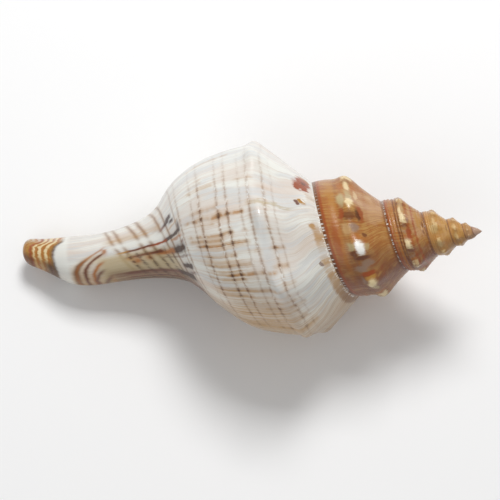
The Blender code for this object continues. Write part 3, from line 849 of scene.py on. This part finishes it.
def outer_point(turn, position, data):
    """Point of the outer face, with knobs, cords and the swelling at the canal's end."""
    distance, radius, lean = position
    share, place, along = data
    angle = given["Lip angle"] - turn
    growth = given["Whorl ratio"] ** (turn / TURN)
    distance = distance * ((growth - 1.0) * share + 1.0)
    start = -given["Turns"] * TURN
    young = (turn - start).smooth(0.0, math.pi)
    slid = drop(turn, place)
    radius = (radius + shoulder(turn, place)) * growth + slid * DROP_RADIUS
    spire = turn.smooth(-1.1 * TURN, -2.2 * TURN)
    cords = (along * (TURN / CORD_SPACING)).cos() * place.smooth(0.0, 0.3) * place.smooth(3.7, 4.0, 1.0, 0.0)
    radius = radius + given["Cord height"] * cords * spire * young * growth ** 0.35
    swelling = place.hump(10.7, 0.9) * turn.hump(-3.8, 0.9) * (-turn).smooth(TURN, TURN - 1.0)
    radius = radius + swelling * SWELLING_HEIGHT
    radius = radius * column_dip(turn, place)
    lower = ((turn - start).smooth(0.0, 0.7 * math.pi).sqrt() * 0.85 + 0.15) * (
        1.0 - (turn - start).below(1e-3))
    upper = ((turn - start).smooth(TURN, TURN + 0.7 * math.pi).sqrt() * 0.85 + 0.15) * (
        1.0 - (turn - start).below(TURN + 1e-3))
    full = upper.mix(lower, (place / 4.0).minimum(1.0))
    distance = (distance + slid * DROP_DISTANCE - APEX_DISTANCE) * full + APEX_DISTANCE
    return place_point(distance, radius * full, lean, angle)


def hollow_depth(place):
    """How far back into the coil the hollow goes."""
    return given["Hollow of body"].mix(given["Hollow of canal"], place.smooth(6.0, 9.5))


def rim(column):
    """Share of the wall crossed, bulge of the edge, and depth share behind the lip."""
    across = (column / float(RIM_STEPS)).minimum(1.0)
    inside = 0.5 - (across * math.pi).cos() * 0.5
    bulge = (across * math.pi).sin().maximum(0.0)
    back = ((column - float(RIM_STEPS)) / float(HOLLOW_STEPS)).maximum(0.0)
    return across, inside, bulge, back


def column_point(row, column):
    """Point of the centre column and of the whorl behind the mouth."""
    across, inside, bulge, back = rim(column)
    edge, edge_data = read_rows(grid_position, row, 3), read_rows(row_info, row, 3)
    deep, deep_data = read_rows(grid_position, row, 4), read_rows(row_info, row, 4)
    distance, radius, lean = [a.mix(b, across) for a, b in zip(edge, deep)]
    share, place, along = [a.mix(b, across) for a, b in zip(edge_data, deep_data)]
    turn = -(hollow_depth(place) * back).maximum(column.minimum(float(RIM_STEPS)) * 0.006)
    angle = given["Lip angle"] - turn
    growth = given["Whorl ratio"] ** (turn / TURN - 1.0)
    distance = distance * ((growth - 1.0) * share + 1.0)
    slid = drop(turn - TURN, place)
    distance = distance + slid * DROP_DISTANCE - place.smooth(11.5, LAST) * inside * CANAL_END_WALL
    radius = (radius * growth + slid * DROP_RADIUS) * (1.0 - place.smooth(7.0, 9.0) * COLUMN_HOLLOW)
    folds = place.hump(6.9, 0.16) + place.hump(7.35, 0.15) * 0.85 + place.hump(7.8, 0.15) * 0.65
    radius = radius + folds * column.smooth(2.0, 14.0) * FOLD_HEIGHT
    return place_point(distance, radius, lean, angle), turn, place, along, back


def wall_point(row, column):
    """Point of the lip and of the inner face of the wall."""
    across, inside, bulge, back = rim(column)
    outer = read_rows(grid_position, row, 0)
    beside = read_rows(grid_position, row, 1)
    inner = read_rows(grid_position, row, 2)
    share, place, along = read_rows(row_info, row, 0)
    distance, radius, lean = [
        a.mix(b, inside).mix(c, inside) for a, b, c in zip(outer, beside, inner)]
    notch = place.smooth(NOTCH_START, LAST) * NOTCH_TURN
    bulge = bulge * place.smooth(0.0, 1.0) * (0.5 * BODY_WALL) / outer[1].maximum(0.004)
    turn = bulge - notch - hollow_depth(place) * back
    angle = given["Lip angle"] - turn
    growth = given["Whorl ratio"] ** (turn / TURN)
    distance = distance * ((growth - 1.0) * share + 1.0)
    row_place = place.mix(read_rows(row_info, row, 1)[1], inside)
    slid = drop(turn, row_place)
    distance = distance + slid * DROP_DISTANCE
    radius = (radius + shoulder(turn, place) * (1.0 - inside)) * growth + slid * DROP_RADIUS
    return place_point(distance, radius, lean, angle), turn, place, along, back


def markings(turn, along, place):
    """Coordinates for the colours: along the growth lines, and between the spiral lines."""
    degrees = turn * (180.0 / math.pi)
    jitter = (grain(along * 0.14, degrees * 0.02, 5.0) - 0.5) * 3.2 + (
        grain(along * 0.7, degrees * 0.1, 6.0) - 0.5) * 1.2
    grown = degrees - along.smooth(18.0, 2.0) * 11.0 + (along - 57.0).maximum(0.0) * 0.7 + jitter
    sag = (-degrees).smooth(70.0, 145.0) * along.hump(41.0, 13.0) * 2.3
    rise = along.smooth(56.0, 66.0) * (degrees + 75.0) * 0.044
    level = along - sag - rise + (grain(degrees * 0.07, along * 0.15, 4.0) - 0.5) * 0.8
    leaning = maker.node("ShaderNodeCombineXYZ", {
        0: grown * (math.pi / 180.0), 1: along, 2: level})
    flat = maker.node("ShaderNodeCombineXYZ", {0: turn, 1: along, 2: place})
    return Field(tree, leaning.outputs[0]), Field(tree, flat.outputs[0])


def sheet(columns, rows, shape, side, flip, zone=lambda turn, along: turn * 0.0):
    """A grid of columns and rows, bent to a shape and given its attributes."""
    made = maker.node("GeometryNodeMeshGrid", {
        "Size X": 1.0, "Size Y": 1.0, "Vertices X": columns + 1.0, "Vertices Y": rows + 1})
    x, y, z = parts(grid_position)
    column = ((x + 0.5) * columns).rounded()
    row = ((y + 0.5) * float(rows)).rounded()
    point, turn, place, along, depth = shape(row, column)
    flow = Field(tree, made.outputs["Mesh"])
    leaning, flat = markings(turn, along, place)
    told = {"leaning": leaning, "flat": flat, "depth": depth, "side": side, "zone": zone(turn, along)}
    for name, value in told.items():
        kind = "FLOAT_VECTOR" if name in ("leaning", "flat") else "FLOAT"
        stored = maker.node("GeometryNodeStoreNamedAttribute", {
            "Geometry": flow, "Name": name}, data_type=kind, domain="CORNER")
        target = [socket for socket in stored.inputs if socket.name == "Value" and socket.enabled][0]
        if isinstance(value, Field):
            tree.links.new(value.socket, target)
        else:
            target.default_value = value
        flow = Field(tree, stored.outputs["Geometry"])
    moved = maker.node("GeometryNodeSetPosition", {"Geometry": flow, "Position": point})
    flow = Field(tree, moved.outputs["Geometry"])
    if flip:
        flow = Field(tree, maker.node("GeometryNodeFlipFaces", {"Mesh": flow}).outputs["Mesh"])
    return flow.socket


def whorl_shape(row, column):
    """Outside of every whorl between one suture and the next."""
    turn = column / given["Columns per turn"] * TURN - given["Turns"] * TURN
    data = read_rows(row_info, row, 0)
    point = outer_point(turn, read_rows(grid_position, row, 0), data)
    return point, turn, data[1], data[2], turn * 0.0


def base_shape(row, column):
    """Base and canal of the last whorl."""
    data = read_rows(row_info, row, 3)
    notch = data[1].smooth(NOTCH_START, LAST) * NOTCH_TURN
    turn = column / given["Columns per turn"] * (TURN - notch) - TURN
    point = outer_point(turn, read_rows(grid_position, row, 3), data)
    return point, turn, data[1], data[2], turn * 0.0


def wall_shape(row, column):
    """Lip and inside of the wall, which shares its first row with the centre column."""
    point, turn, place, along, depth = wall_point(row, column)
    first = column_point(row * 0.0, column)[0]
    chosen = maker.node("GeometryNodeSwitch", {
        "Switch": row.below(0.5), "False": point, "True": first}, input_type="VECTOR")
    return Field(tree, chosen.outputs[0]), turn, place, along, depth


def end_shape(row, column):
    """Blind end of the hollow, from the wall across to the centre column."""
    last = column * 0.0 + float(RIM_STEPS + HOLLOW_STEPS)
    wall, turn, place, along, depth = wall_shape(row, last)
    other = column_point((row - float(ROWS_WHORL)).maximum(0.0), last)[0]
    made = maker.node("ShaderNodeMix", {"Factor": column, 4: wall, 5: other}, data_type="VECTOR")
    return Field(tree, made.outputs[1]), turn, place, along, depth


# The zone tells the stretches of colour apart: 2 is the spire, 1 the last whorl above its widest
# line, 0 the whorl below it, -1 the neck and -2 the canal.
hollow_columns = maker * 0.0 + float(RIM_STEPS + HOLLOW_STEPS)
sheets = [
    sheet((given["Turns"] * given["Columns per turn"]).rounded(), ROWS_WHORL, whorl_shape,
          0.0, False, lambda turn, along: turn.below(SPIRE_COLOUR_START) + 1.0),
    sheet(given["Columns per turn"] * 1.0, ROWS_BASE, base_shape, 0.0, False,
          lambda turn, along: along.below(NECK_EDGE) + along.below(CANAL_EDGE) - 2.0),
    sheet(hollow_columns, ROWS_WHORL + ROWS_BASE, wall_shape, 1.0, False),
    sheet(hollow_columns, ROWS_BASE, column_point, 2.0, True),
    sheet(maker * 0.0 + 1.0, ROWS_WHORL + ROWS_BASE, end_shape, 1.0, False),
]
joined = tree.nodes.new("GeometryNodeJoinGeometry")
for made in reversed(sheets):
    tree.links.new(made, joined.inputs[0])
welded = maker.node("GeometryNodeMergeByDistance", {
    "Geometry": Field(tree, joined.outputs[0]), "Distance": 1e-6})
smooth = maker.node("GeometryNodeSetShadeSmooth", {"Geometry": Field(tree, welded.outputs[0])})
real = maker.node("GeometryNodeRealizeInstances", {"Geometry": Field(tree, smooth.outputs[0])})
side_stored, zone_stored = [Field(tree, maker.node(
    "GeometryNodeInputNamedAttribute", {"Name": name}, data_type="FLOAT").outputs["Attribute"])
    for name in ("side", "zone")]
flow = Field(tree, real.outputs[0])
for name, chosen in (
        ("Base", True), ("Neck", -0.75 - zone_stored), ("Canal", -1.75 - zone_stored),
        ("Outside", zone_stored - 0.5), ("Spire", zone_stored - 1.75), ("Inside", side_stored)):
    flow = Field(tree, maker.node("GeometryNodeSetMaterial", {
        "Geometry": flow, "Selection": chosen, "Material": given[name]}).outputs[0])
tree.links.new(flow.socket, group_out.inputs["Geometry"])

coil_object = bpy.data.objects.new("shell_coil", bpy.data.meshes.new("shell_coil"))
bpy.context.scene.collection.objects.link(coil_object)
coil = coil_object.modifiers.new("shell_coil", "NODES")
coil.node_group = tree
for item in tree.interface.items_tree:
    if item.in_out == "INPUT":
        coil[item.identifier] = coil_inputs[item.name][1]
evaluated = coil_object.evaluated_get(bpy.context.evaluated_depsgraph_get())
shell_mesh = bpy.data.meshes.new_from_object(evaluated)
bpy.data.objects.remove(coil_object)
bpy.data.objects.remove(row_object)
lie = Matrix.Rotation(REST_PITCH, 4, "Y") @ Matrix.Rotation(REST_ROLL, 4, "X")
shell_mesh.transform(lie)
low, high = np.array(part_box("shell"))
corners = np.array([vertex.co for vertex in shell_mesh.vertices])
shift = (low + high) / 2.0 - (corners.min(axis=0) + corners.max(axis=0)) / 2.0
shift[2] = -corners[:, 2].min()
shell_mesh.transform(Matrix.Translation(shift))
shell_mesh.name = "shell_surface"
shell_surface = bpy.data.objects.new("shell_surface", shell_mesh)
bpy.context.scene.collection.objects.link(shell_surface)
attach(shell_surface, "root")
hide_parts("shell")


# Floor: a plain pale sheet of paper that the shell lies on. It is dull, and so wide that its edges
# stay out of the picture.
floor_mesh = bpy.data.meshes.new("floor")
floor_mesh.from_pydata([(-3.0, -3.0, 0.0), (3.0, -3.0, 0.0), (3.0, 3.0, 0.0), (-3.0, 3.0, 0.0)], [],
                       [(0, 1, 2, 3)])
floor = bpy.data.objects.new("floor", floor_mesh)
bpy.context.scene.collection.objects.link(floor)
floor_paint = bpy.data.materials.new("floor_paint")
floor_paint.use_nodes = True
floor_surface = floor_paint.node_tree.nodes["Principled BSDF"]
floor_surface.inputs["Base Color"].default_value = (0.92, 0.92, 0.92, 1.0)
floor_surface.inputs["Roughness"].default_value = 0.9
floor_surface.inputs["Specular IOR Level"].default_value = 0.0
floor_mesh.materials.append(floor_paint)

# Camera: a long lens nearly straight above the shell, level with its axis. It is placed in the frame
# that the shell is built in, and then laid down with the shell.
CAMERA_TILT = math.radians(12.227)
CAMERA_TURN = math.radians(5.74)
CAMERA_RIGHT = -0.074274
CAMERA_UP = -0.006091
CAMERA_DISTANCE = 0.62608
AXIS_MIDDLE = 0.060
CAMERA_LENS = 140.34
tilt_sin, tilt_cos = math.sin(CAMERA_TILT), math.cos(CAMERA_TILT)
turn_sin, turn_cos = math.sin(CAMERA_TURN), math.cos(CAMERA_TURN)
camera_right = Vector((turn_cos * tilt_cos, -turn_sin, -turn_cos * tilt_sin))
camera_up = Vector((turn_sin * tilt_cos, turn_cos, -turn_sin * tilt_sin))
camera_back = Vector((tilt_sin, 0.0, tilt_cos))
camera_place = CAMERA_RIGHT * camera_right + CAMERA_UP * camera_up
camera_place += (CAMERA_DISTANCE - AXIS_MIDDLE * tilt_sin) * camera_back
camera_data = bpy.data.cameras.new("camera")
camera_data.sensor_width = 36.0
camera_data.lens = CAMERA_LENS
camera = bpy.data.objects.new("camera", camera_data)
bpy.context.scene.collection.objects.link(camera)
facing = Matrix((camera_right, camera_up, camera_back)).transposed().to_4x4()
camera.matrix_world = Matrix.Translation(shift) @ lie @ Matrix.Translation(camera_place) @ facing
bpy.context.scene.camera = camera

# Light: one large soft lamp on the far side of the shell, a weaker one opposite, and a pale room
# that lights it evenly from all round.
def lamp(name, direction, distance, size, power):
    """A soft square lamp that points at the shell."""
    data = bpy.data.lights.new(name, "AREA")
    data.size = size
    data.energy = power
    made = bpy.data.objects.new(name, data)
    bpy.context.scene.collection.objects.link(made)
    direction = Vector(direction).normalized()
    made.location = direction * distance + Vector((0.0, 0.0, 0.025))
    made.rotation_mode = "QUATERNION"
    made.rotation_quaternion = direction.to_track_quat("Z", "Y")


lamp("key_lamp", (0.15, 0.75, 1.0), 0.9, 0.30, 6.0)
lamp("fill_lamp", (-0.6, -0.8, 1.0), 1.0, 0.7, 1.4)
world = bpy.data.worlds.new("room")
world.use_nodes = True
world.node_tree.nodes["Background"].inputs["Color"].default_value = (1.0, 1.0, 1.0, 1.0)
world.node_tree.nodes["Background"].inputs["Strength"].default_value = 0.38
bpy.context.scene.world = world
bpy.context.scene.view_settings.view_transform = "Standard"
